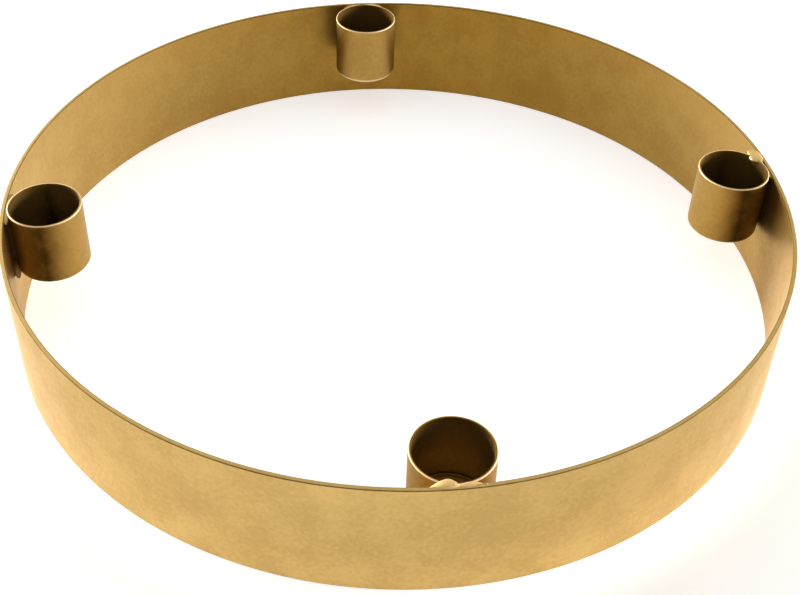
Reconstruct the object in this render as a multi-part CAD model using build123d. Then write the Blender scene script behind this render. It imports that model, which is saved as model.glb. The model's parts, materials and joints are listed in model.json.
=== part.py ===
from build123d import *
import math
import os

# An advent candle holder: a flat strip rolled on edge into a hoop, with candle cups tack-welded inside it.
# Millimetres, +Z up. The origin is the middle of the hoop, on the surface that it stands on.
# Front is -Y. Left and right of a cup are as seen from the middle of the hoop, looking out at the cup.

# Hoop: the strip, and the butt weld between its two ends
hoop_diameter = 260.0
hoop_height = 41.5
strip_thickness = 1.4
strip_edge_share = 0.2
seam_gap = 1.2
seam_bead_width = 2.6
seam_bead_height = 0.4
seam_offset = 6.3

# Candle cups: each drawn from one piece of sheet, rim level with the top of the hoop
candle_diameter = 22.0
candle_clearance = 0.2
cup_wall = 0.8
cup_height = 23.6
cup_foot_inside_radius = 1.4
cup_rim_share = 0.3
cup_root_gap = 0.2
cup_places = ["right", "back", "left", "front"]

# Tack welds: a bead in the wedge on each side of a cup at its rim, and a smaller one near its foot
tack_radius = 2.2
tack_depth = 1.5
tack_angle = 29
low_tack_radius = 2.1
low_tack_rise = 1.4
low_tack_angle = 33
weld_cover_share = 0.5
cut_overrun = 5.0

# Sizes that follow from the ones above: the cups are spaced evenly, from +X towards +Y
cup_angles = {place: 360 * i / len(cup_places) for i, place in enumerate(cup_places)}
hoop_radius = hoop_diameter / 2
hoop_inner_radius = hoop_radius - strip_thickness
strip_edge_break = strip_thickness * strip_edge_share
weld_reach_radius = hoop_inner_radius + strip_thickness * weld_cover_share
seam_arc = math.degrees(seam_gap / hoop_inner_radius)
seam_angle = cup_angles["front"] + math.degrees(seam_offset / hoop_inner_radius)
seam_bead_radius = (seam_bead_width ** 2 / 4 + seam_bead_height ** 2) / (2 * seam_bead_height)
bore_radius = candle_diameter / 2 + candle_clearance
cup_radius = bore_radius + cup_wall
cup_rim_break = cup_wall * cup_rim_share
cup_foot_radius = cup_foot_inside_radius + cup_wall
cup_centre_radius = hoop_inner_radius - cup_root_gap - cup_radius
cup_base = hoop_height - cup_height


def turned(shape, angle):
    """The shape turned about the hoop's axis, from +X towards +Y."""
    return Rot(Z=angle) * shape


def upright_cylinder(radius):
    """A tall cylinder on the Z axis that overruns the hoop at both ends."""
    return Pos(Z=hoop_height / 2) * Cylinder(radius, hoop_height + 2 * cut_overrun)


def strip_arc(start, sweep):
    """The strip's section, with its edges broken, carried round part of the hoop."""
    section = Rectangle(strip_thickness, hoop_height)
    section = chamfer(section.vertices(), strip_edge_break)
    section = Plane.XZ * Pos(hoop_radius - strip_thickness / 2, hoop_height / 2) * section
    return turned(revolve(section, Axis.Z, sweep), start)


def hoop_band():
    """The rolled strip, open by the width of the seam."""
    return strip_arc(seam_angle + seam_arc / 2, 360 - seam_arc)


def hoop_seam_weld(band):
    """The weld that fills the seam: flush outside, with a low bead up the inside that laps onto the strip."""
    filler = strip_arc(seam_angle - seam_arc / 2, seam_arc)
    bead_centre = hoop_inner_radius - seam_bead_height + seam_bead_radius
    bead = Cylinder(seam_bead_radius, hoop_height - 2 * strip_edge_break)
    bead = turned(Pos(bead_centre, 0, hoop_height / 2) * bead, seam_angle)
    return filler + ((bead & upright_cylinder(weld_reach_radius)) - band)


def drawn_cup():
    """One cup in its place at angle 0: its half section, turned about the cup's own axis."""
    rim_start = cup_height - cup_rim_break
    outside = FilletPolyline((0, 0), (cup_radius, 0), (cup_radius, rim_start), radius=cup_foot_radius)
    rim = Polyline(
        (cup_radius, rim_start),
        (cup_radius - cup_rim_break, cup_height),
        (bore_radius + cup_rim_break, cup_height),
        (bore_radius, rim_start),
    )
    inside = FilletPolyline(
        (bore_radius, rim_start), (bore_radius, cup_wall), (0, cup_wall), radius=cup_foot_inside_radius
    )
    middle = Line((0, cup_wall), (0, 0))
    section = make_face(Plane.XZ * (outside + rim + inside + middle))
    return Pos(cup_centre_radius, 0, cup_base) * revolve(section, Axis.Z)


def tack_weld(radius, angle, height, seats):
    """A bead in the wedge beside a cup at angle 0.

    Its middle is halfway between the cup and the hoop, on a line that leaves the cup's axis at the angle given.
    It is cut to lie against its seats, and covers only part of the cup's rim and of the strip's edge.
    The sphere's poles point at the cup and the hoop, so that the cuts take them off.
    """
    across = cup_centre_radius * math.sin(math.radians(angle))
    along = cup_centre_radius * math.cos(math.radians(angle))
    hoop_distance = math.sqrt(hoop_inner_radius ** 2 - across ** 2) - along
    middle = (cup_radius + hoop_distance) / 2
    bead = turned(Pos(middle, 0, height) * Rot(Y=90) * Sphere(radius), angle)
    bead = Pos(X=cup_centre_radius) * bead
    bead = bead & upright_cylinder(weld_reach_radius)
    bead = bead - Pos(X=cup_centre_radius) * upright_cylinder(bore_radius + cup_wall * weld_cover_share)
    return bead - seats


def holder_parts():
    """Every piece of the holder in its place, by name."""
    band = hoop_band()
    seam = hoop_seam_weld(band)
    cup = drawn_cup()
    seats = [cup, strip_arc(180, 360)]
    upper_height = hoop_height - tack_depth
    lower_height = cup_base + low_tack_rise
    tacks = {
        "upper_left": tack_weld(tack_radius, tack_angle, upper_height, seats),
        "upper_right": tack_weld(tack_radius, -tack_angle, upper_height, seats),
        "lower": tack_weld(low_tack_radius, low_tack_angle, lower_height, seats),
    }
    parts = {"hoop_band": band, "hoop_seam_weld": seam}
    for place, angle in cup_angles.items():
        parts["candle_cup_" + place] = turned(cup, angle)
        for side, tack in tacks.items():
            parts["tack_" + place + "_" + side] = turned(tack, angle) - seam
    return parts


os.makedirs("parts", exist_ok=True)
for node, shape in holder_parts().items():
    export_step(shape, "parts/" + node + ".step")
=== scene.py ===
"""Looks of a brass advent candle holder, built round the solids of the same holder.

A strip rolled on edge into a hoop carries four candle cups inside it, tack-welded at their rims and feet.
Every piece is a surface worked out with numpy. Metres, +Z up, the hoop's axis on Z, front towards -Y.
"""
import json
import math

import bpy
import numpy as np
from bpy.props import FloatProperty, FloatVectorProperty, IntProperty, PointerProperty
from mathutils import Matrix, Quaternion, Vector


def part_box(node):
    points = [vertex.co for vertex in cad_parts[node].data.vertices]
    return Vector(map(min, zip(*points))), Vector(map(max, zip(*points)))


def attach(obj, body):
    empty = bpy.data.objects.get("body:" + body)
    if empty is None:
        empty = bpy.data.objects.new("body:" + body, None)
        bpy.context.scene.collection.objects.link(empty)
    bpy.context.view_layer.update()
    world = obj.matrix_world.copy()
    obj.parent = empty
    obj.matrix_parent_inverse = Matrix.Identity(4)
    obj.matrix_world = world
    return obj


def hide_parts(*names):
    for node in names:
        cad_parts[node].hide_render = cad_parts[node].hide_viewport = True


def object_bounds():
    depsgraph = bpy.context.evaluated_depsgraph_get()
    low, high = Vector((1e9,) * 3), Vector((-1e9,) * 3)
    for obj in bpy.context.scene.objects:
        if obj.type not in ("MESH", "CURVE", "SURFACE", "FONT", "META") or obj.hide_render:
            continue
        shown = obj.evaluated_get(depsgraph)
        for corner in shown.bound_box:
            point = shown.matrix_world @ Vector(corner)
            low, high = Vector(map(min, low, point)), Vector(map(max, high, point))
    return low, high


bl_info = {
    "name": "Advent Candle Holder",
    "version": (1, 0, 0),
    "blender": (4, 5, 0),
    "location": "3D View > Sidebar > Candle Holder",
    "description": "Makes a welded brass candle ring, its finish and a pale studio round its solids",
    "category": "Add Mesh",
}

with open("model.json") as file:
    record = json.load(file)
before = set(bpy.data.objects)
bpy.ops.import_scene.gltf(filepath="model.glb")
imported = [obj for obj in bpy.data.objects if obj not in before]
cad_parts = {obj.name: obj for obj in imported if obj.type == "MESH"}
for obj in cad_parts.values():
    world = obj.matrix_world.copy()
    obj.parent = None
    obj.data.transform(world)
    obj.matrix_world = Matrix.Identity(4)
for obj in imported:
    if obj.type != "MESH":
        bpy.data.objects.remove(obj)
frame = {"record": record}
cad_box = [list(corner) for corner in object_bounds()]

# Sizes that the frame gives
mounts = {mount["name"]: mount for mount in frame["record"]["mounts"]}
bores = [name for name in mounts if "bore" in name]
cup_places = {name.removeprefix("candle_bore_"): mounts[name]["pos_m"] for name in bores}
hoop_low, hoop_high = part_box("hoop_band")
seam_low, seam_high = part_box("hoop_seam_weld")
cup_low, cup_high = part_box("candle_cup_right")
hoop_radius = min(hoop_high.x, hoop_high.y, -hoop_low.x, -hoop_low.y)
strip_thickness = 2 * (hoop_radius - mounts["base_ring"]["pos_m"][0])
seam_middle = (seam_low + seam_high) / 2
bore_radius = mounts["candle_bore_right"]["dims"]["r_mm"] / 1000

# Runs of the tack welds round each cup: from and to, in degrees from the line that leads straight out from
# the hoop's axis, how far each laps past the middle of the rim towards the bore and rises above it, in
# metres, and how clean and lit it is: from 0, darkened by painted shade, given as browning, but for a painted
# highlight on its crest, to 1, bare brass but for its darkened ends.
rim_beads = {
    ("right", "upper_left"): (12, 54, 0.0015, 0.0003, 0.7),
    ("right", "upper_right"): (-24, 16, 0.0, -0.0002, 0.5),
    ("back", "upper_left"): (-5, 36, 0.0002, -0.0001, 0.6),
    ("back", "upper_right"): (-36, 5, 0.0002, 0.0, 0.8),
    ("left", "upper_left"): (-14, 37, 0.0, -0.0002, 0.9),
    ("left", "upper_right"): (-37, 10, 0.0, -0.0003, 0.5),
    ("front", "upper_left"): (-12, 30, 0.0003, 0.0002, 1.0),
    ("front", "upper_right"): (-35, 5, 0.0014, 0.0006, 1.0),
}

# Run of the tack weld near each cup's foot, in the same degrees.
foot_bead_run = (-8, 43)

# Painted light at each cup: how far the painted shade of the cup, given as weld browning, reaches along the
# strip, clockwise and counterclockwise as seen from above, in metres, then, from 0 to 1, how strongly it
# darkens the strip and the cup, how bright the painted highlight on the cup's foot is and how dark the
# painted shade in its bore is.
cup_shade_and_highlight = {
    "right": (0.042, 0.006, 0.38, 1.0, 0.1, 0.5),
    "back": (0.018, 0.016, 0.4, 1.0, 1.0, 0.6),
    "left": (0.006, 0.050, 0.05, 1.0, 0.1, 0.05),
    "front": (0.012, 0.012, 0.3, 0.3, 0.1, 0.0),
}

# Distance from a sharp corner to the points beside it, which keep the corner's shading off the faces.
end_ring = 0.00004

# Roughness that each pattern or mark adds to the satin brass.
added_roughness = {
    "dulled": 0.06, "grain": 0.10, "browning": 0.30,
    "edge": 0.40, "inside": 0.20, "rubbed": 0.30, "crest": 0.28,
}

# Dulling of the satin brass: the share of clouds in it, the rest being specks, and the levels of both at
# which it begins and is full.
cloud_share = 0.6
dulled_start = 0.36
dulled_end = 0.64

# Patches in the browning: how many fit in a cloud, and the least and the most that they multiply it by.
patches_a_cloud = 3
patch_least = 0.7
patch_most = 1.3

# How strongly the corners of the strip and of its seam are darkened with painted shade, which damps the
# lamps' highlights on them.
edge_shade = 0.7

# Waves of the rolled strip: how many go round the hoop, where each starts, in radians, and its share.
strip_waves = ((5, 0.8, 1.0), (9, 2.1, 0.7), (16, 4.4, 0.5))

# Rows of points across the strip's thickness and up its height.
thickness_rows = 4
height_rows = 22

# Ageing of the strip's inside, from 0 to 1: its middle value, an aged tone, and its swing from the middle to
# the back, painted shade that darkens the back.
aged_middle = 0.2
back_shade_swing = 0.8

# Painted shade beside the cups at the sides, added to the ageing: its strength, how much stronger it is on
# the left and weaker on the right, and how far forwards it lies and reaches, as sines of the angle round the
# hoop.
side_shade = 0.75
side_shade_lean = 0.2
side_shade_forward = 0.17
side_shade_reach = 0.11

# Fan of painted shade on the strip at a cup, given as browning: power of its outline, steepness of its
# border, fading to the side.
fan_power = 1.25
fan_border = 4
fan_side_fade = 0.35

# Seam weld: points across its bead and rows up it, the row on which the distance round it is measured, and
# how light the painted highlight on its crest is.
seam_columns = 17
seam_rows = 160
seam_measured_row = 40
seam_highlight = 0.5

# Edge radii over which its bead runs out, then the depth and pitch of its ripples and the depth of its root,
# as shares of the bead's height, the seam's gap and the strip's thickness.
seam_run_out = 6
seam_ripple_share = 0.15
seam_pitch_share = 0.9
seam_root_share = 0.1

# Share of the way to its middle by which an inner ring lies inside the end of the seam.
end_inset_share = 0.06

# Cups: share of the radius at which the fan in the middle of a disc ends, and rows of points across a disc,
# up a wall and over the rim.
pole_share = 0.025
disc_rows = 8
wall_rows = 16
rim_rows = 2

# Painted shade on the floor of a bore: shares of a cup's height below the rim where it begins and over which
# it grows, then how dark the painted shade on the floor and in the inner corner is.
bore_shade_start_share = 0.402
bore_shade_growth_share = 0.6
bore_floor_shade = 0.45
inner_corner_shade = 0.85

# Height of a cup's painted highlight on the rim, given as rubbed brass, as a share of its rounding, and
# steepness of the border of the painted highlight on its foot.
rim_highlight_share = 1.2
foot_highlight_border = 3

# Powers by which a cup's painted shade, given as browning, rises from the line of contact and fades away from
# the hoop.
shade_rise_power = 1.4
shade_fade_power = 2

# Weld beads: points along and round one, and the powers that square its oval off across and upright.
bead_rows = 49
bead_columns = 40
across_power = 0.75
upright_power = 0.65

# Swell of a bead: the power that a parabola along it is raised to, and the least of that parabola.
swell_power = 0.85
least_swell = 0.0004

# The power that a parabola along a bead is raised to, to give its lap over the rim.
lap_power = 1.5

# Slow lumps on a bead: their share of its size, radians along half of it and waves round it.
bead_lumps = ((0.01, 5, 3), (0.006, 9, -2))

# Painted highlight on the crest of a bead: least strength, how far it reaches down the sides, and its power
# on a bead darkened by painted shade and on a clean one. Then how strongly the ends of a bead are darkened,
# painted shade that damps their glints.
least_crest = 0.3
crest_reach = 0.4
browned_crest_power = 3
lit_crest_power = 1
end_shade = 0.9

# Softboxes: azimuth from the front towards the right and elevation, in degrees, then width and height and the
# distance of them all, in metres.
softboxes = {
    "left": (-118, 10, 1.0, 0.3),
    "left_back": (-138, 10, 1.2, 0.3),
    "right_front": (64, 10, 1.2, 0.3),
    "right": (98, 10, 1.5, 0.3),
}
softbox_distance = 1.5

# Camera: width of its sensor in millimetres, the nearest and farthest that it sees, in metres, and the
# picture's width and the rise of its lens in pixels.
sensor_width = 36.0
nearest_seen = 0.01
farthest_seen = 100.0
picture_width_pixels = 800
lens_rise_pixels = -57.5


class HoopSizes(bpy.types.PropertyGroup):
    """Sizes of the strip and of the weld that closes it."""

    radius: FloatProperty(
        name="Radius", description="From the axis to the outside of the strip",
        default=hoop_radius, unit="LENGTH")
    height: FloatProperty(
        name="Height", description="Width of the strip, standing on edge", default=hoop_high.z, unit="LENGTH")
    thickness: FloatProperty(
        name="Thickness", description="Thickness of the strip", default=strip_thickness, unit="LENGTH")
    edge_radius: FloatProperty(
        name="Edge radius", description="Rounding of the strip's long edges", default=0.00028, unit="LENGTH")
    waviness: FloatProperty(
        name="Waviness", description="Farthest that the rolled strip strays inwards from a true circle",
        default=0.00012, unit="LENGTH")
    seam_angle: FloatProperty(
        name="Seam angle", description="Place of the butt weld round the hoop",
        default=math.atan2(seam_middle.y, seam_middle.x), subtype="ANGLE")
    seam_gap: FloatProperty(
        name="Seam gap", description="Gap between the strip's ends, filled by the weld",
        default=0.0012, unit="LENGTH")
    bead_width: FloatProperty(
        name="Bead width", description="Width of the weld's bead on the inside",
        default=0.0026, unit="LENGTH")
    bead_height: FloatProperty(
        name="Bead height", description="Height of the weld's bead on the inside",
        default=0.0004, unit="LENGTH")
    # Painted shade: how far the cups' painted shade, given as weld browning, reaches down the strip.
    shade_fan_drop: FloatProperty(
        name="Heat drop", description="How far the welds browned the strip down from its top edge",
        default=0.028, unit="LENGTH")
    # Painted shade: where the darkest painted shade inside the strip lies.
    back_shade_turn: FloatProperty(
        name="Aged turn", description="How far the most aged place lies to the right of the back",
        default=math.radians(14), subtype="ANGLE")
    steps: IntProperty(name="Steps", description="Rings of points round the hoop", default=900)


class CupSizes(bpy.types.PropertyGroup):
    """Sizes of a candle cup."""

    radius: FloatProperty(
        name="Radius", description="Outside radius of a cup",
        default=(cup_high.y - cup_low.y) / 2, unit="LENGTH")
    bore_radius: FloatProperty(
        name="Bore radius", description="Inside radius of a cup", default=bore_radius, unit="LENGTH")
    base: FloatProperty(
        name="Base", description="Height of a cup's underside above the table",
        default=cup_low.z, unit="LENGTH")
    rim: FloatProperty(
        name="Rim", description="Height of a cup's rim above the table", default=cup_high.z, unit="LENGTH")
    foot_radius: FloatProperty(
        name="Foot radius", description="Rounding of the foot outside", default=0.0016, unit="LENGTH")
    rim_radius: FloatProperty(
        name="Rim radius", description="Rounding of the rim's outer edge", default=0.0003, unit="LENGTH")
    bore_edge: FloatProperty(
        name="Bore edge", description="Rounding of the rim's inner edge", default=0.00015, unit="LENGTH")
    # Painted shade on the side of a cup towards the hoop, given as weld browning: where it is full and where
    # it has faded.
    cup_shade_start: FloatProperty(
        name="Heat start", description="Angle from the hoop up to which the welds browned a cup",
        default=math.radians(88), subtype="ANGLE")
    cup_shade_end: FloatProperty(
        name="Heat end", description="Angle from the hoop at which the browning has faded out",
        default=math.radians(160), subtype="ANGLE")
    # Painted shade at the mouth of the bore: the depth over which it fades.
    mouth_shade_depth: FloatProperty(
        name="Dull depth", description="Depth over which the dull mouth of the bore fades",
        default=0.006, unit="LENGTH")
    aged: FloatProperty(
        name="Aged", description="How aged a cup's outside is", default=0.72, subtype="FACTOR")
    steps: IntProperty(name="Steps", description="Points round a cup", default=192)


class WeldSizes(bpy.types.PropertyGroup):
    """Sizes that the tack welds share."""

    rim_drop: FloatProperty(
        name="Rim bead drop", description="How far a bead at the rim reaches down",
        default=0.0016, unit="LENGTH")
    foot_height: FloatProperty(
        name="Foot bead height", description="Height of a bead at the foot above the cup's base",
        default=0.0014, unit="LENGTH")
    foot_half_height: FloatProperty(
        name="Foot bead half height", description="Half the height of a bead at the foot",
        default=0.0016, unit="LENGTH")
    # How clean a foot bead is: less painted shade, given as browning, and a broader painted highlight on its
    # crest.
    foot_clean_and_lit: FloatProperty(
        name="Foot bead clean", description="How clean a bead at the foot is", default=1.0, subtype="FACTOR")
    end_sink: FloatProperty(
        name="End sink", description="How far the ends of a bead sink into the wedge",
        default=0.0004, unit="LENGTH")
    end_draw: FloatProperty(
        name="End draw", description="How far the ends of a bead at the rim draw back from the bore",
        default=0.0006, unit="LENGTH")
    strip_cover: FloatProperty(
        name="Strip cover", description="How far a bead laps onto the strip", default=0.001, unit="LENGTH")
    ripple: FloatProperty(
        name="Ripple", description="Height of the ripples across a bead", default=0.00002, unit="LENGTH")
    ripple_pitch: FloatProperty(
        name="Ripple pitch", description="Distance from ripple to ripple", default=0.0008, unit="LENGTH")


class BrassFinish(bpy.types.PropertyGroup):
    """Colours and grain of the brass."""

    body: FloatVectorProperty(
        name="Body", description="Satin brass where it is clean",
        default=(0.645, 0.435, 0.152), subtype="COLOR")
    clouded: FloatVectorProperty(
        name="Clouded", description="Satin brass where it is a little dulled",
        default=(0.555, 0.363, 0.119), subtype="COLOR")
    # Tint of an aged tone, and inside the strip also of painted shade, darkest at the back and beside the
    # side cups.
    aged: FloatVectorProperty(
        name="Aged", description="Tint of the duller brass inside the hoop and on the cups",
        default=(0.49, 0.405, 0.195), subtype="COLOR")
    # Colour of painted highlights, given as rubbed brass: the cups' rims, and the feet, most of all the back
    # cup's.
    rubbed: FloatVectorProperty(
        name="Rubbed", description="Brass rubbed bright along edges and rims",
        default=(0.80, 0.62, 0.37), subtype="COLOR")
    # Colour of the painted shade in the bores.
    cup_inside_shade: FloatVectorProperty(
        name="Cup inside", description="Dull brass inside the cups",
        default=(0.12, 0.062, 0.008), subtype="COLOR")
    weld: FloatVectorProperty(
        name="Weld", description="Brass over the weld beads", default=(0.68, 0.48, 0.21), subtype="COLOR")
    # Colour of weld browning and of painted shade: by the cups, on the corners and on the welds.
    browned: FloatVectorProperty(
        name="Browned", description="Brass browned by the heat of welding",
        default=(0.058, 0.034, 0.005), subtype="COLOR")
    grazing: FloatVectorProperty(
        name="Grazing", description="Tint of what the brass reflects at a grazing angle",
        default=(0.94, 0.88, 0.78), subtype="COLOR")
    roughness: FloatProperty(
        name="Roughness", description="Roughness of the satin brass", default=0.36, subtype="FACTOR")
    cloud_size: FloatProperty(
        name="Cloud size", description="Size of the soft clouds in the finish", default=0.014, unit="LENGTH")
    speck_size: FloatProperty(
        name="Speck size", description="Size of the fine mottling in the finish",
        default=0.0014, unit="LENGTH")
    grain_width: FloatProperty(
        name="Grain width", description="Width of one line of the fine grain", default=0.00025, unit="LENGTH")
    grain_length: FloatProperty(
        name="Grain length", description="Length of one line of the fine grain", default=0.006, unit="LENGTH")
    grain_depth: FloatProperty(
        name="Grain depth", description="Depth of the fine grain", default=0.000006, unit="LENGTH")


class StageSetup(bpy.types.PropertyGroup):
    """Floor, light and camera."""

    floor_size: FloatProperty(
        name="Floor size", description="Side of the square floor", default=14.0, unit="LENGTH")
    floor: FloatVectorProperty(
        name="Floor", description="Colour of the floor", default=(0.92, 0.92, 0.92), subtype="COLOR")
    open_floor: FloatProperty(
        name="Open floor", description="White added to the floor well away from the holder", default=1.0)
    near_radius: FloatProperty(
        name="Near radius", description="Where the open floor's white begins", default=0.3, unit="LENGTH")
    far_radius: FloatProperty(
        name="Far radius", description="Where the open floor's white is full", default=1.3, unit="LENGTH")
    middle_floor: FloatProperty(
        name="Middle floor", description="White added to the floor in the middle of the hoop", default=0.5)
    shade_start: FloatProperty(
        name="Shade start", description="Distance inwards from the hoop at which that white begins",
        default=-0.02, unit="LENGTH")
    shade_end: FloatProperty(
        name="Shade end", description="Distance inwards from the hoop at which that white is full",
        default=0.004, unit="LENGTH")
    room: FloatProperty(name="Room", description="Soft light from all round", default=0.7)
    left: FloatProperty(
        name="Left", description="Power of the softbox on the left", default=35.0, unit="POWER")
    left_back: FloatProperty(
        name="Left back", description="Power of the softbox behind on the left", default=32.0, unit="POWER")
    right_front: FloatProperty(
        name="Right front", description="Power of the softbox in front on the right",
        default=6.0, unit="POWER")
    right: FloatProperty(
        name="Right", description="Power of the softbox on the right", default=42.0, unit="POWER")
    eye: FloatVectorProperty(
        name="Eye", description="Place of the camera",
        default=(-0.04605, -0.32751, 0.28411), subtype="TRANSLATION")
    aim: FloatVectorProperty(
        name="Aim", description="Point of the floor in the middle of the lens",
        default=(0.0039, 0.02271, 0.0), subtype="TRANSLATION")
    roll: FloatProperty(
        name="Roll", description="Turn of the camera about its line of sight",
        default=math.radians(1.925), subtype="ANGLE")
    lens: FloatProperty(
        name="Lens", description="Focal length of the camera", default=54.99, unit="CAMERA")
    shift: FloatProperty(
        name="Shift", description="Rise of the lens as a share of the picture's width",
        default=lens_rise_pixels / picture_width_pixels)


class HolderSettings(bpy.types.PropertyGroup):
    """All settings of the candle holder."""

    hoop: PointerProperty(type=HoopSizes, name="Hoop", description="Sizes of the strip and its seam")
    cup: PointerProperty(type=CupSizes, name="Cup", description="Sizes of a candle cup")
    weld: PointerProperty(type=WeldSizes, name="Weld", description="Sizes of the tack welds")
    finish: PointerProperty(type=BrassFinish, name="Finish", description="Colours and grain of the brass")
    stage: PointerProperty(type=StageSetup, name="Stage", description="Floor, light and camera")


class Wire:
    """An output socket of a node tree. Arithmetic on wires and numbers adds Math nodes."""

    def __init__(self, tree, socket=None):
        self.tree = tree
        self.socket = socket

    def node(self, kind, settings=None, inputs=None, output=0):
        """A new node of this kind: its settings are set first, then the values or wires of its sockets."""
        made = self.tree.nodes.new(kind)
        for name, value in (settings or {}).items():
            setattr(made, name, value)
        for name, value in (inputs or {}).items():
            if isinstance(value, Wire):
                self.tree.links.new(value.socket, made.inputs[name])
            else:
                made.inputs[name].default_value = value
        return Wire(self.tree, made.outputs[output])

    def math(self, operation, first, second):
        return self.node("ShaderNodeMath", {"operation": operation}, {0: first, 1: second})

    def __add__(self, other):
        return self.math("ADD", self, other)

    def __radd__(self, other):
        return self.math("ADD", other, self)

    def __sub__(self, other):
        return self.math("SUBTRACT", self, other)

    def __rsub__(self, other):
        return self.math("SUBTRACT", other, self)

    def __mul__(self, other):
        return self.math("MULTIPLY", self, other)

    def __rmul__(self, other):
        return self.math("MULTIPLY", other, self)

    def largest(self, other):
        return self.math("MAXIMUM", self, other)

    def smooth_step(self, low, high):
        """0 below low, 1 above high, and a smooth rise between them."""
        return self.node(
            "ShaderNodeMapRange", {"interpolation_type": "SMOOTHSTEP"},
            {"Value": self, "From Min": low, "From Max": high})

    def mix(self, first, second):
        """A colour: the first where this wire is 0, the second where it is 1."""
        return self.node("ShaderNodeMix", {"data_type": "RGBA"}, {0: self, 6: first, 7: second}, 2)

    def tint(self, colour, shade):
        """The colour where this wire is 0, and the colour times the shade where it is 1."""
        settings = {"data_type": "RGBA", "blend_type": "MULTIPLY"}
        return self.node("ShaderNodeMix", settings, {0: self, 6: colour, 7: shade}, 2)

    def object_place(self):
        return self.node("ShaderNodeTexCoord", output="Object")

    def along_piece(self):
        return self.node("ShaderNodeUVMap", {"uv_map": "along_piece"})

    def stretched(self, scale):
        return self.node("ShaderNodeVectorMath", {"operation": "MULTIPLY"}, {0: self, 1: scale})

    def noise(self, scale, detail=2.0, roughness=0.5):
        return self.node(
            "ShaderNodeTexNoise", None,
            {"Vector": self, "Scale": scale, "Detail": detail, "Roughness": roughness})

    def attribute(self, name):
        return self.node("ShaderNodeAttribute", {"attribute_name": name}, output="Fac")

    def bump(self, distance):
        """A normal that follows this wire as a height of up to the distance."""
        return self.node("ShaderNodeBump", None, {"Height": self, "Distance": distance, "Strength": 1.0})


def opaque(colour):
    """A colour with full alpha, as a colour socket takes it."""
    return (*colour, 1.0)


def metal_material(name, finish):
    """A new all-metal material: the material, a wire on its tree and its shader's input sockets."""
    material = bpy.data.materials.new(name)
    material.use_nodes = True
    shader = material.node_tree.nodes["Principled BSDF"]
    shader.inputs["Metallic"].default_value = 1.0
    shader.inputs["Specular Tint"].default_value = opaque(finish.grazing)
    return material, Wire(material.node_tree), shader.inputs


def connect(wire, socket):
    """Links a wire to an input socket."""
    wire.tree.links.new(wire.socket, socket)


def satin_brass(wire, finish):
    """Colour and roughness that all the satin brass shares, and its fine grain from 0 to 1.

    The finish is dulled in clouds and specks, noise of two sizes through space. The grain is noise stretched
    along the piece. The aged attribute tints the brass with an aged tone, and inside the strip with painted
    shade, and the browning and shade attribute darkens it, in patches, as weld browning and painted shade.
    """
    place = wire.object_place()
    clouds = cloud_share * place.noise(1 / finish.cloud_size, detail=3.0, roughness=0.55)
    specks = (1 - cloud_share) * place.noise(1 / finish.speck_size)
    dulled = (clouds + specks).smooth_step(dulled_start, dulled_end)
    lines = wire.along_piece().stretched((1 / finish.grain_width, 1 / finish.grain_length, 1.0))
    grain = lines.noise(1.0, detail=1.0)
    browning_shade = wire.attribute("browning")
    blotches = place.noise(patches_a_cloud / finish.cloud_size, detail=3.0, roughness=0.6)
    patches = patch_least + (patch_most - patch_least) * blotches
    colour = dulled.mix(opaque(finish.body), opaque(finish.clouded))
    colour = wire.attribute("aged").tint(colour, opaque(finish.aged))
    # Weld browning and painted shade: the brass darkens towards the browned colour where the attribute says.
    colour = (browning_shade * patches).mix(colour, opaque(finish.browned))
    patterns = added_roughness["dulled"] * (dulled - 0.5) + added_roughness["grain"] * (grain - 0.5)
    rough = finish.roughness + patterns + added_roughness["browning"] * browning_shade
    return colour, rough, grain


def hoop_brass(finish):
    """Satin brass of the strip: grain along the roll, painted shade as dark lines along its corners, and the
    cups' painted shade on its inside, given as browning.
    """
    material, wire, shader = metal_material("hoop_satin_brass", finish)
    colour, rough, grain = satin_brass(wire, finish)
    edge = wire.attribute("edge")
    # Painted shade along the corners, darkening the lamps' highlights there.
    connect((edge_shade * edge).mix(colour, opaque(finish.browned)), shader["Base Color"])
    connect(rough + added_roughness["edge"] * edge, shader["Roughness"])
    connect((grain * (1 - edge)).bump(finish.grain_depth), shader["Normal"])
    return material


def cup_brass(finish):
    """Satin brass of the cups: lines up the wall, painted highlights on rim and foot, painted shade in the
    bore and on the side towards the hoop.
    """
    material, wire, shader = metal_material("cup_satin_brass", finish)
    colour, rough, grain = satin_brass(wire, finish)
    inside = wire.attribute("inside")
    rubbed = wire.attribute("rubbed")
    colour = inside.mix(colour, opaque(finish.cup_inside_shade))
    connect(rubbed.mix(colour, opaque(finish.rubbed)), shader["Base Color"])
    marked = added_roughness["inside"] * inside + added_roughness["rubbed"] * rubbed
    connect(rough + marked, shader["Roughness"])
    connect(grain.bump(finish.grain_depth), shader["Normal"])
    return material


def weld_brass(finish):
    """Brass of the welds: satin where it is ground flush, lighter and softer on the crest of a bead, where a
    highlight is painted.
    """
    material, wire, shader = metal_material("weld_bead_brass", finish)
    colour, rough, grain = satin_brass(wire, finish)
    crest = wire.attribute("crest")
    connect(crest.mix(colour, opaque(finish.weld)), shader["Base Color"])
    connect(rough + added_roughness["crest"] * crest, shader["Roughness"])
    connect(grain.bump(finish.grain_depth), shader["Normal"])
    return material


def crowded(first, last, rows):
    """Points on the straight line between two points, crowded towards both and without them.

    Their shares of the way are half of one minus the cosine of even steps round half a turn.
    """
    share = (0.5 - 0.5 * np.cos(np.linspace(0, np.pi, rows + 2)))[1:-1, None]
    return first + (last - first) * share


def eased(share):
    """A smooth rise from 0 to 1 as the share goes from 0 to 1: three times its square less twice its cube."""
    share = np.clip(share, 0, 1)
    return share * share * (3 - 2 * share)


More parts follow.
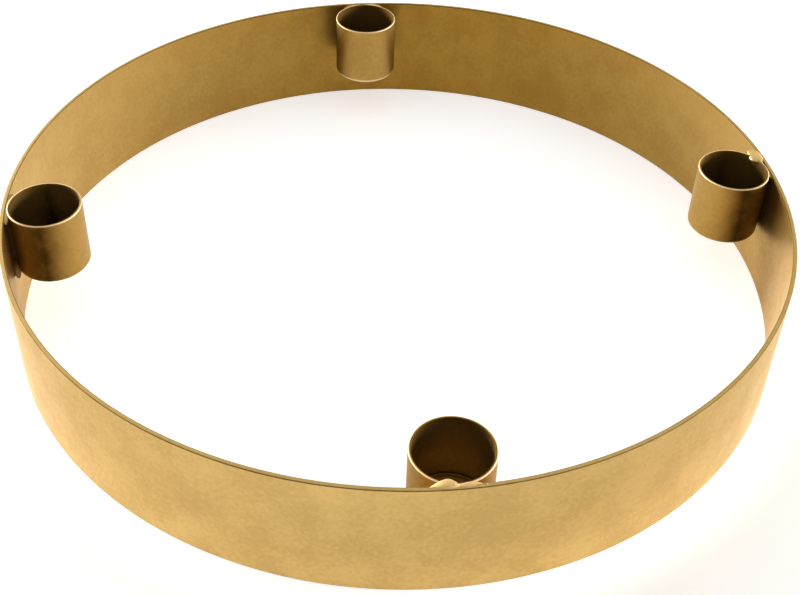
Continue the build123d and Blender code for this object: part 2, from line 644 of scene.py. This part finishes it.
def arc(centre, radius, start, stop, steps=7):
    """Points on a circle about the centre, from the start angle to the stop angle in degrees."""
    turn = np.radians(np.linspace(start, stop, steps))
    return np.asarray(centre) + radius * np.stack([np.cos(turn), np.sin(turn)], axis=1)


def joined(arcs, rows):
    """An outline through the arcs, with rows of points on the straight line from each arc to the next."""
    stretches = []
    for left, entered, count in zip(arcs[:-1], arcs[1:], rows):
        stretches += [left, crowded(left[-1], entered[0], count)]
    return np.concatenate(stretches + [arcs[-1]])


def run_length(points):
    """Distance along a row of points from its first point to each: the steps between them added up."""
    steps = np.linalg.norm(np.diff(points, axis=0), axis=1)
    return np.concatenate([[0.0], np.cumsum(steps)])


def tube_faces(around, along):
    """Faces of a closed tube whose point (i, j), i round it and j along it, has the number i * along + j.

    Each quad joins (i, j), (i + 1, j), (i + 1, j + 1) and (i, j + 1), and i wraps. A fan closes each end: the
    two points in the middles of the ends follow the others. Also gives each corner's (i, j), before wrapping.
    """
    def number(corner):
        return corner[..., 0] % around * along + corner[..., 1]

    i, j = np.meshgrid(np.arange(around), np.arange(along - 1), indexing="ij")
    quads = np.stack([i, j, i + 1, j, i + 1, j + 1, i, j + 1], axis=-1).reshape(-1, 4, 2)
    k = np.arange(around)
    zero = np.zeros_like(k)
    last = zero + along - 1
    south = np.stack([k, zero, k + 1, zero, k, zero], axis=-1).reshape(-1, 3, 2)
    north = np.stack([k, last, k + 1, last, k, last], axis=-1).reshape(-1, 3, 2)
    south_faces = np.stack([zero + around * along, number(south)[:, 1], number(south)[:, 0]], axis=1)
    north_faces = np.stack([number(north)[:, 0], number(north)[:, 1], zero + around * along + 1], axis=1)
    faces = number(quads).tolist() + south_faces.tolist() + north_faces.tolist()
    corners = np.concatenate([quads.reshape(-1, 2), south[:, [2, 1, 0]].reshape(-1, 2), north.reshape(-1, 2)])
    return faces, corners


def tube_piece(name, points, around_run, along_run, marks):
    """An object from a closed tube of points (round it, along it, xyz).

    Its faces point the way that round cross along does. Its UV map holds the distances round and along it in
    metres, and each mark is an attribute on its points.
    """
    around, along, _ = points.shape
    faces, corners = tube_faces(around, along)
    middles = points[:, [0, -1]].mean(axis=0)
    mesh = bpy.data.meshes.new(name)
    mesh.from_pydata(np.concatenate([points.reshape(-1, 3), middles]).tolist(), [], faces)
    layer = mesh.uv_layers.new(name="along_piece")
    places = np.stack([around_run[corners[:, 0]], along_run[corners[:, 1]]], axis=1)
    layer.uv.foreach_set("vector", places.astype(np.float32).ravel())
    for mark, values in marks.items():
        values = np.broadcast_to(values, (around, along))
        values = np.concatenate([values.ravel(), values[:, [0, -1]].mean(axis=0)])
        mesh.attributes.new(mark, "FLOAT", "POINT").data.foreach_set("value", values.astype(np.float32))
    mesh.shade_smooth()
    mesh.validate()
    piece = bpy.data.objects.new(name, mesh)
    bpy.context.scene.collection.objects.link(piece)
    return piece


def dress(piece, material, node):
    """Gives a piece its material, and lets it ride in the place of its CAD node."""
    piece.data.materials.append(material)
    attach(piece, "root")
    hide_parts(node)


def strip_inset(hoop, angle):
    """How far the rolled strip strays inwards at an angle, from 0 to the waviness: its waves added up."""
    waves = sum(share * np.sin(count * angle + start) for count, start, share in strip_waves)
    most = sum(share for _, _, share in strip_waves)
    return hoop.waviness * (0.5 + 0.5 * waves / most)


def outward(place):
    """Angle of the line that leads from the hoop's axis straight out through a cup."""
    return math.atan2(cup_places[place][1], cup_places[place][0])


def within_half_turn(angle):
    """The same angle, counted from minus half a turn to half a turn."""
    return (angle + math.pi) % (2 * math.pi) - math.pi


def round_hoop(outwards, angle, height):
    """Points at these distances from the hoop's axis, angles round it and heights."""
    outwards, angle, height = np.broadcast_arrays(outwards, angle, height)
    return np.stack([outwards * np.cos(angle), outwards * np.sin(angle), height], axis=-1)


def cup_shade_fan(hoop, angle, height):
    """How much the painted shade and reflection of the cups darken the strip, given as weld browning, from 0
    to 1: a fan below the top edge at each cup.

    A point's share of the reach to the side and its share of the drop, each raised to a power, are added. The
    shade ends where the sum is one. It also fades with the square of the share to the side.
    """
    below = (hoop.height - height) / hoop.shade_fan_drop
    total = 0.0
    for place, (clockwise, counterclockwise, strength, _, _, _) in cup_shade_and_highlight.items():
        turn = within_half_turn(angle - outward(place))
        aside = hoop.radius * np.where(turn < 0, -turn / clockwise, turn / counterclockwise)
        fan = eased(fan_border - fan_border * (aside ** fan_power + below ** fan_power))
        total = total + strength * fan * np.maximum(1 - fan_side_fade * aside ** 2, 0)
    return total


def make_hoop_strip(hoop):
    """The rolled strip: its section, a rectangle with round corners, carried round the hoop.

    The section runs down the outside, in along the bottom, up the inside and out along the top. The inside
    has
    an aged tone with painted shade: most aged near the back, and less towards the front as the sine of the
    angle falls, but for a patch of painted shade a little to the front of each cup at the sides, a bell curve
    of that sine, which is stronger on the left.
    """
    edge = hoop.edge_radius
    inner, outer = hoop.radius - hoop.thickness + edge, hoop.radius - edge
    low, high = edge, hoop.height - edge
    arcs = [
        arc((outer, low), edge, 0, -90), arc((inner, low), edge, -90, -180),
        arc((inner, high), edge, 180, 90), arc((outer, high), edge, 90, 0),
    ]
    section = joined(arcs + arcs[:1], 2 * (thickness_rows, height_rows))[:-len(arcs[0])]
    half_gap = hoop.seam_gap / 2 / hoop.radius
    ends = np.array([0, end_ring / hoop.radius])
    start = hoop.seam_angle + half_gap + ends
    stop = hoop.seam_angle + 2 * math.pi - half_gap - ends[::-1]
    angle = np.concatenate([start, np.linspace(start[-1], stop[0], hoop.steps)[1:-1], stop])
    points = round_hoop(section[:, :1] - strip_inset(hoop, angle), angle, section[:, 1:])
    on_inside = section[:, 0] < inner
    off_sides = (section[:, 0] > hoop.radius - hoop.thickness) & (section[:, 0] < hoop.radius)
    at_corner = off_sides & (section[:, 1] > 0) & (section[:, 1] < hoop.height)
    # Painted shade inside the strip: darker towards the back, with a patch beside each cup at the sides.
    strength = side_shade - side_shade_lean * np.cos(angle)
    shade_beside_cups = strength * np.exp(-((np.sin(angle) + side_shade_forward) / side_shade_reach) ** 2)
    aged = np.clip(aged_middle + back_shade_swing * np.sin(angle + hoop.back_shade_turn) + shade_beside_cups, 0, 1)
    around_run = run_length(np.concatenate([section, section[:1]]))
    marks = {
        "edge": at_corner[:, None],
        # Painted shade and reflection of the cups on the strip's inside, given as weld browning.
        "browning": on_inside[:, None] * cup_shade_fan(hoop, angle, section[:, 1:]),
        "aged": on_inside[:, None] * aged,
    }
    return tube_piece("hoop_strip", points, around_run, angle * hoop.radius, marks)


def make_seam_bead(hoop):
    """The butt weld: a T in plan, carried up the hoop. The stem fills the seam, the bar is a bead inside.

    The bead's height is a parabola across, rippled up the hoop. Towards both edges of the strip it runs out,
    and narrows to the stem's width.
    """
    edge = hoop.edge_radius
    half_gap, half_bead = hoop.seam_gap / 2, hoop.bead_width / 2
    across_bead = half_bead * np.cos(np.linspace(0, np.pi, seam_columns))
    flush = half_gap - end_ring
    across_outside = [-half_gap, -flush, 0, flush, half_gap]
    across = np.concatenate([across_outside, [half_gap], across_bead, [-half_gap]])
    on_outside = np.arange(len(across)) < len(across_outside)
    bulge = np.concatenate([np.zeros(len(across_outside) + 1), 1 - (across_bead / half_bead) ** 2, [0.0]])
    rows = arc((0, edge), edge, -90, 0)[:, 1]
    between = np.linspace(edge, hoop.height - edge, seam_rows)[1:-1]
    height = np.concatenate([rows[:1], rows, between, hoop.height - rows[::-1], hoop.height - rows[:1]])
    to_edge = np.minimum(height, hoop.height - height)
    rounding = edge - np.sqrt(np.maximum(edge ** 2 - np.maximum(edge - to_edge, 0) ** 2, 0))
    run_out = np.sqrt(np.clip(to_edge / (seam_run_out * edge), 0, 1))
    ripple = 1 + seam_ripple_share * np.sin(2 * np.pi * height / (hoop.seam_gap * seam_pitch_share))
    into_strip = seam_root_share * hoop.thickness
    outside = hoop.radius - rounding
    inside = hoop.radius - hoop.thickness + rounding + into_strip
    rise = (hoop.bead_height + into_strip) * run_out * ripple
    outwards = np.where(on_outside[:, None], outside, inside - bulge[:, None] * rise)
    narrowest = flush / half_bead
    width = np.where(np.abs(across)[:, None] > half_gap, narrowest + (1 - narrowest) * run_out, 1.0)
    angle = hoop.seam_angle + across[:, None] * width / hoop.radius
    points = round_hoop(outwards - strip_inset(hoop, angle), angle, height)
    ends = points[:, [0, -1]]
    points[:, [0, -1]] = ends + end_inset_share * (ends.mean(axis=0) - ends)
    measured = points[:, seam_measured_row]
    around_run = run_length(np.concatenate([measured, measured[:1]]))
    at_corner = (to_edge > 0) & (to_edge < edge)
    # Painted highlight on the crest of the bead, and painted shade along its corners.
    marks = {"crest": seam_highlight * bulge[:, None] * run_out, "browning": edge_shade * at_corner}
    return tube_piece("hoop_seam_bead", points, around_run, height, marks)


def cup_profile(cup):
    """Half section of a cup, as distances from its axis and heights.

    It runs from the middle of the underside, round the foot, up the wall, over the rim, down the bore and
    round the inner corner to the middle of the floor.
    """
    wall = cup.radius - cup.bore_radius
    foot, lip, bore_edge = cup.foot_radius, cup.rim_radius, cup.bore_edge
    floor, corner = cup.base + wall, wall / 2
    pole = pole_share * cup.radius
    arcs = [
        np.array([[pole, cup.base]]),
        arc((cup.radius - foot, cup.base + foot), foot, -90, 0, steps=12),
        arc((cup.radius - lip, cup.rim - lip), lip, 0, 90),
        arc((cup.bore_radius + bore_edge, cup.rim - bore_edge), bore_edge, 90, 180),
        arc((cup.bore_radius - corner, floor + corner), corner, 0, -90, steps=10),
        np.array([[pole, floor]]),
    ]
    return joined(arcs, (disc_rows, wall_rows, rim_rows, wall_rows, disc_rows))


def make_cup(cup, place):
    """One candle cup: its half section turned about its own axis.

    The bore is darkened with painted shade at its mouth, fading with depth, and again at its floor and inner
    corner. Painted shade on the cup's side towards the hoop, given as weld browning, rises round the cup from
    the line of contact to its start angle, and fades to its end angle. The rim and the foot carry painted
    highlights.
    """
    profile = cup_profile(cup)
    turn = np.linspace(0, 2 * math.pi, cup.steps, endpoint=False)[:, None]
    middle = cup_places[place]
    x = middle[0] + profile[:, 0] * np.cos(turn)
    y = middle[1] + profile[:, 0] * np.sin(turn)
    points = np.stack(np.broadcast_arrays(x, y, profile[:, 1]), axis=-1)
    _, _, _, shade_strength, foot_highlight, bore_shade = cup_shade_and_highlight[place]
    # Painted shade in the bore: a level for each cup, darkest at the mouth and again towards the floor and in
    # the inner corner.
    past_rim = np.arange(len(profile)) > np.argmax(profile[:, 1])
    over_rim = np.clip((cup.radius - cup.rim_radius - profile[:, 0]) / cup.bore_edge, 0, 1)
    wall = cup.radius - cup.bore_radius
    at_mouth = np.exp((profile[:, 1] - cup.rim) / cup.mouth_shade_depth)
    in_corner = (profile[:, 0] > cup.radius - 2 * wall) & (profile[:, 1] < cup.base + 2 * wall)
    depth_share = (cup.rim - profile[:, 1]) / (cup.rim - cup.base)
    at_floor = eased((depth_share - bore_shade_start_share) / bore_shade_growth_share)
    bore_darkening = np.maximum.reduce([at_mouth, bore_floor_shade * at_floor, inner_corner_shade * in_corner])
    inside = past_rim * over_rim * (bore_shade + (1 - bore_shade) * bore_darkening)
    # Painted highlights, given as rubbed brass: on the rim, where the aged tone is left off, and on the foot,
    # strongest on the back cup.
    at_rim = np.clip(1 - (cup.rim - profile[:, 1]) / (rim_highlight_share * cup.rim_radius), 0, 1)
    at_foot = foot_highlight * eased(foot_highlight_border * (1 - (profile[:, 1] - cup.base) / cup.foot_radius))
    around_run = np.linspace(0, 2 * math.pi * cup.radius, cup.steps + 1)
    # Painted shade and reflection on the side of the cup that faces the hoop, given as weld browning.
    from_hoop = np.abs(within_half_turn(turn - outward(place)))
    rising = np.clip(from_hoop / cup.cup_shade_start, 0, 1) ** shade_rise_power
    fading = np.clip((cup.cup_shade_end - from_hoop) / (cup.cup_shade_end - cup.cup_shade_start), 0, 1) ** shade_fade_power
    browning_shade = shade_strength * fading * rising
    rubbed = np.maximum(at_rim, at_foot * (1 - browning_shade)) * (1 - inside)
    aged = cup.aged * (1 - at_rim) * ~past_rim
    marks = {"rubbed": rubbed, "inside": inside, "browning": browning_shade, "aged": aged}
    return tube_piece("cup_%s_shell" % place, points, around_run, run_length(profile), marks)


def to_strip(hoop, axis_radius, angle):
    """Distance from a cup's axis to the strip's inside, at an angle from the line straight out.

    The law of cosines gives it, from the distance between the two axes and the strip's inner radius.
    """
    inner = hoop.radius - hoop.thickness
    return np.sqrt(inner ** 2 - (axis_radius * np.sin(angle)) ** 2) - axis_radius * np.cos(angle)


def bead_run(start, stop):
    """Places along a bead, from -1 at one end to 1 at the other, and their angles round the cup.

    The places are the sine of even steps over half a turn, which crowds them at both ends.
    """
    share = np.sin(np.linspace(-np.pi / 2, np.pi / 2, bead_rows))
    return share, np.radians(start + (stop - start) * (share + 1) / 2)


def at_ends(share):
    """Next to nothing along most of a bead and 1 at both ends: the fourth power of the place along it."""
    return share ** 4


def squared_off(wave, power):
    """A sine or cosine whose size is raised to a power, with its sign kept."""
    return np.sign(wave) * np.abs(wave) ** power


def make_bead(name, place, share, angle, near, far, low, high, clean_and_lit, weld):
    """A weld bead in the wedge between a cup and the strip: an oval carried round the cup along the run.

    At each angle of the run the oval reaches from the near to the far distance from the cup's axis, and from
    the low to the high height. It swells from nothing at both ends, a little fuller than a parabola, and
    sinks there, with ripples across its top and slow lumps along it. The cleaner and more lit it is, the
    lighter and broader the painted highlight on its crest, and the less painted shade, given as browning, on
    the rest.
    Its ends are darkened with painted shade that damps their glints.
    """
    swell = np.maximum(1 - share ** 2, least_swell) ** swell_power
    turn = np.linspace(0, 2 * math.pi, bead_columns, endpoint=False)[:, None]
    lumps = 1 + sum(size * np.sin(along * share + around * turn) for size, along, around in bead_lumps)
    across = squared_off(np.cos(turn), across_power) * swell * lumps
    upright = squared_off(np.sin(turn), upright_power) * swell * lumps
    along_run = angle * near
    ripples = np.sin(2 * np.pi * along_run / weld.ripple_pitch)
    ripple = weld.ripple * ripples * np.maximum(np.sin(turn), 0) * swell
    distance = (near + far) / 2 + (far - near) / 2 * across
    height = (low + high) / 2 + (high - low) / 2 * upright + ripple - weld.end_sink * at_ends(share)
    height = np.minimum(height, cad_box[1][2])
    middle = cup_places[place]
    x = middle[0] + distance * np.cos(outward(place) + angle)
    y = middle[1] + distance * np.sin(outward(place) + angle)
    points = np.stack([x, y, height], axis=-1)
    around_run = np.linspace(0, math.pi * (high - low), len(turn) + 1)
    # Painted highlight on the crest; painted shade, given as browning, over the rest of a less clean bead and
    # at its ends, where it damps their glints.
    strength = least_crest + (1 - least_crest) * clean_and_lit
    power = browned_crest_power + (lit_crest_power - browned_crest_power) * clean_and_lit
    crest = strength * np.clip(crest_reach + np.sin(turn), 0, 1) ** power * (1 - at_ends(share))
    browning = np.maximum((1 - clean_and_lit) * (1 - crest), end_shade * at_ends(share))
    marks = {"crest": crest, "browning": browning}
    return tube_piece(name, points, around_run, along_run - along_run[0], marks)


class HOLDER_OT_roll_hoop(bpy.types.Operator):
    """Roll the strip into a hoop"""

    bl_idname = "holder.roll_hoop"
    bl_label = "Roll the Hoop"

    def execute(self, context):
        holder = context.scene.candle_holder
        dress(make_hoop_strip(holder.hoop), hoop_brass(holder.finish), "hoop_band")
        return {"FINISHED"}


class HOLDER_OT_weld_seam(bpy.types.Operator):
    """Weld the two ends of the strip"""

    bl_idname = "holder.weld_seam"
    bl_label = "Weld the Seam"

    def execute(self, context):
        holder = context.scene.candle_holder
        dress(make_seam_bead(holder.hoop), weld_brass(holder.finish), "hoop_seam_weld")
        return {"FINISHED"}


class HOLDER_OT_draw_cups(bpy.types.Operator):
    """Draw the candle cups and set them inside the hoop"""

    bl_idname = "holder.draw_cups"
    bl_label = "Draw the Cups"

    def execute(self, context):
        holder = context.scene.candle_holder
        material = cup_brass(holder.finish)
        for place in cup_places:
            dress(make_cup(holder.cup, place), material, "candle_cup_" + place)
        return {"FINISHED"}


class HOLDER_OT_tack_rims(bpy.types.Operator):
    """Tack the cups to the strip at their rims"""

    bl_idname = "holder.tack_rims"
    bl_label = "Tack the Rims"

    def execute(self, context):
        holder = context.scene.candle_holder
        hoop, cup, weld = holder.hoop, holder.cup, holder.weld
        material = weld_brass(holder.finish)
        middle_of_rim = (cup.radius + cup.bore_radius) / 2
        for (place, side), (start, stop, lap, rise, clean_and_lit) in rim_beads.items():
            share, angle = bead_run(start, stop)
            near = middle_of_rim - lap * (1 - share ** 2) ** lap_power + weld.end_draw * at_ends(share)
            far = to_strip(hoop, math.hypot(*cup_places[place][:2]), angle) + weld.strip_cover
            node = "tack_%s_%s" % (place, side)
            low, high = cup.rim - weld.rim_drop, cup.rim + rise
            bead = make_bead(node + "_bead", place, share, angle, near, far, low, high, clean_and_lit, weld)
            dress(bead, material, node)
        return {"FINISHED"}


class HOLDER_OT_tack_feet(bpy.types.Operator):
    """Tack the cups to the strip near their feet"""

    bl_idname = "holder.tack_feet"
    bl_label = "Tack the Feet"

    def execute(self, context):
        holder = context.scene.candle_holder
        hoop, cup, weld = holder.hoop, holder.cup, holder.weld
        material = weld_brass(holder.finish)
        share, angle = bead_run(*foot_bead_run)
        near = np.full_like(angle, (cup.radius + cup.bore_radius) / 2)
        middle = cup.base + weld.foot_height
        low, high = middle - weld.foot_half_height, middle + weld.foot_half_height
        for place in cup_places:
            far = to_strip(hoop, math.hypot(*cup_places[place][:2]), angle) + weld.strip_cover / 2
            node = "tack_%s_lower" % place
            bead = make_bead(node + "_bead", place, share, angle, near, far, low, high, weld.foot_clean_and_lit, weld)
            dress(bead, material, node)
        return {"FINISHED"}


def floor_material(stage):
    """Pale matt floor. Eye, gloss and glass see white added in the middle of the hoop and far from it."""
    material = bpy.data.materials.new("pale_floor")
    material.use_nodes = True
    nodes = material.node_tree.nodes
    nodes.remove(nodes["Principled BSDF"])
    wire = Wire(material.node_tree)
    seen = wire.node("ShaderNodeLightPath", output="Is Camera Ray")
    for ray in ("Is Glossy Ray", "Is Transmission Ray"):
        seen = seen.largest(wire.node("ShaderNodeLightPath", output=ray))
    away = wire.node("ShaderNodeVectorMath", {"operation": "LENGTH"}, {0: wire.object_place()}, "Value")
    inside = (hoop_radius - away).smooth_step(stage.shade_start, stage.shade_end)
    outside = away.smooth_step(stage.near_radius, stage.far_radius)
    white = stage.middle_floor * inside + stage.open_floor * outside
    matt = wire.node("ShaderNodeBsdfDiffuse", None, {"Color": opaque(stage.floor)})
    glow = wire.node("ShaderNodeEmission", None, {"Strength": seen * white})
    surface = wire.node("ShaderNodeAddShader", None, {0: matt, 1: glow})
    connect(surface, nodes["Material Output"].inputs["Surface"])
    return material


def set_floor(stage):
    """A square floor under the hoop."""
    half = stage.floor_size / 2
    mesh = bpy.data.meshes.new("studio_floor")
    corners = [(-half, -half, 0), (half, -half, 0), (half, half, 0), (-half, half, 0)]
    mesh.from_pydata(corners, [], [(0, 1, 2, 3)])
    floor = bpy.data.objects.new("studio_floor", mesh)
    floor.data.materials.append(floor_material(stage))
    bpy.context.scene.collection.objects.link(floor)


def set_room(stage):
    """Dim even light from all round."""
    room = bpy.data.worlds.new("studio_room")
    room.use_nodes = True
    room.node_tree.nodes["Background"].inputs["Color"].default_value = opaque([stage.room] * 3)
    bpy.context.scene.world = room


def set_softbox(name, power):
    """A softbox at its place in the table, turned to the middle of the hoop."""
    azimuth, elevation, width, height = softboxes[name]
    around, up = math.radians(azimuth), math.radians(elevation)
    place = Vector((math.sin(around) * math.cos(up), -math.cos(around) * math.cos(up), math.sin(up)))
    light = bpy.data.lights.new("softbox_" + name, "AREA")
    light.shape = "RECTANGLE"
    light.size, light.size_y = width, height
    light.energy = power
    lamp = bpy.data.objects.new("softbox_" + name, light)
    lamp.location = softbox_distance * place
    lamp.rotation_mode = "QUATERNION"
    lamp.rotation_quaternion = (-place).to_track_quat("-Z", "Y")
    lamp.visible_camera = False
    bpy.context.scene.collection.objects.link(lamp)


def set_camera(stage):
    """The camera at its eye point, aimed and rolled, with the lens and its shift."""
    data = bpy.data.cameras.new("camera")
    data.sensor_width = sensor_width
    data.lens = stage.lens
    data.shift_y = stage.shift
    data.clip_start, data.clip_end = nearest_seen, farthest_seen
    camera = bpy.data.objects.new("camera", data)
    eye, aim = Vector(stage.eye), Vector(stage.aim)
    camera.location = eye
    camera.rotation_mode = "QUATERNION"
    camera.rotation_quaternion = (aim - eye).to_track_quat("-Z", "Y") @ Quaternion((0, 0, 1), stage.roll)
    bpy.context.scene.collection.objects.link(camera)
    bpy.context.scene.camera = camera


class HOLDER_OT_set_stage(bpy.types.Operator):
    """Set the pale floor, the room, the softboxes and the camera"""

    bl_idname = "holder.set_stage"
    bl_label = "Set the Stage"

    def execute(self, context):
        stage = context.scene.candle_holder.stage
        set_floor(stage)
        set_room(stage)
        for name in softboxes:
            set_softbox(name, getattr(stage, name))
        set_camera(stage)
        context.scene.view_settings.view_transform = "Standard"
        return {"FINISHED"}


class HOLDER_PT_sidebar(bpy.types.Panel):
    """Steps and sizes of the candle holder"""

    bl_idname = "HOLDER_PT_sidebar"
    bl_label = "Candle Holder"
    bl_space_type = "VIEW_3D"
    bl_region_type = "UI"
    bl_category = "Candle Holder"

    def draw(self, context):
        holder = context.scene.candle_holder
        for step in steps:
            self.layout.operator(step.bl_idname)
        for group in (holder.hoop, holder.cup, holder.weld, holder.finish, holder.stage):
            box = self.layout.box()
            for name in group.bl_rna.properties.keys():
                if name not in ("rna_type", "name"):
                    box.prop(group, name)


groups = (HoopSizes, CupSizes, WeldSizes, BrassFinish, StageSetup, HolderSettings)
steps = (
    HOLDER_OT_roll_hoop, HOLDER_OT_weld_seam, HOLDER_OT_draw_cups, HOLDER_OT_tack_rims,
    HOLDER_OT_tack_feet, HOLDER_OT_set_stage)
classes = groups + steps + (HOLDER_PT_sidebar,)


def register():
    for cls in classes:
        bpy.utils.register_class(cls)
    bpy.types.Scene.candle_holder = PointerProperty(type=HolderSettings)


def unregister():
    del bpy.types.Scene.candle_holder
    for cls in reversed(classes):
        bpy.utils.unregister_class(cls)


def main():
    register()
    bpy.ops.holder.roll_hoop()
    bpy.ops.holder.weld_seam()
    bpy.ops.holder.draw_cups()
    bpy.ops.holder.tack_rims()
    bpy.ops.holder.tack_feet()
    bpy.ops.holder.set_stage()


if __name__ == "__main__":
    main()
